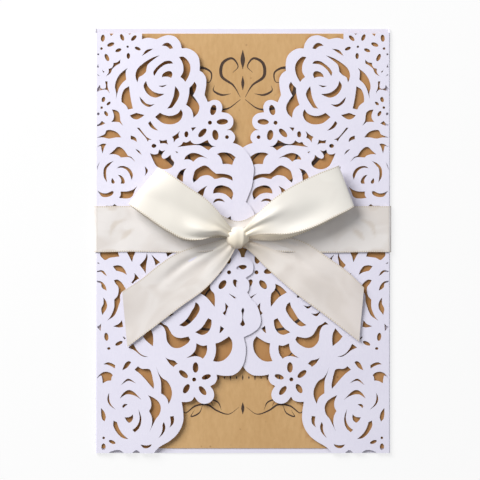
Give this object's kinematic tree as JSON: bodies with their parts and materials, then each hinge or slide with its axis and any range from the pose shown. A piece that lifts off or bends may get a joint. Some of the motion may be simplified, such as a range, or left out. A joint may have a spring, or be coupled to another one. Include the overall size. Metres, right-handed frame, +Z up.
{
  "type": "laser-cut invitation card",
  "caption": "Gate-fold card with lace-cut rose flaps over a plain kraft insert, tied shut with a satin ribbon band and bow.",
  "frame": {"origin": "middle of the ribbon band's underside, below the card's centre, on the surface that the card lies on", "axes": "+X to the right of the card, +Y to its top edge, +Z up through the lace to the bow"},
  "size_m": [0.1262, 0.18, 0.0108],
  "materials": {
    "pearl_card": "pearl",
    "kraft_card": "matt",
    "satin": "satin"
  },
  "bodies": {
    "root": {"card_jacket": "pearl_card", "insert_card": "kraft_card", "satin_ribbon": "satin"}
  },
  "joints": []
}
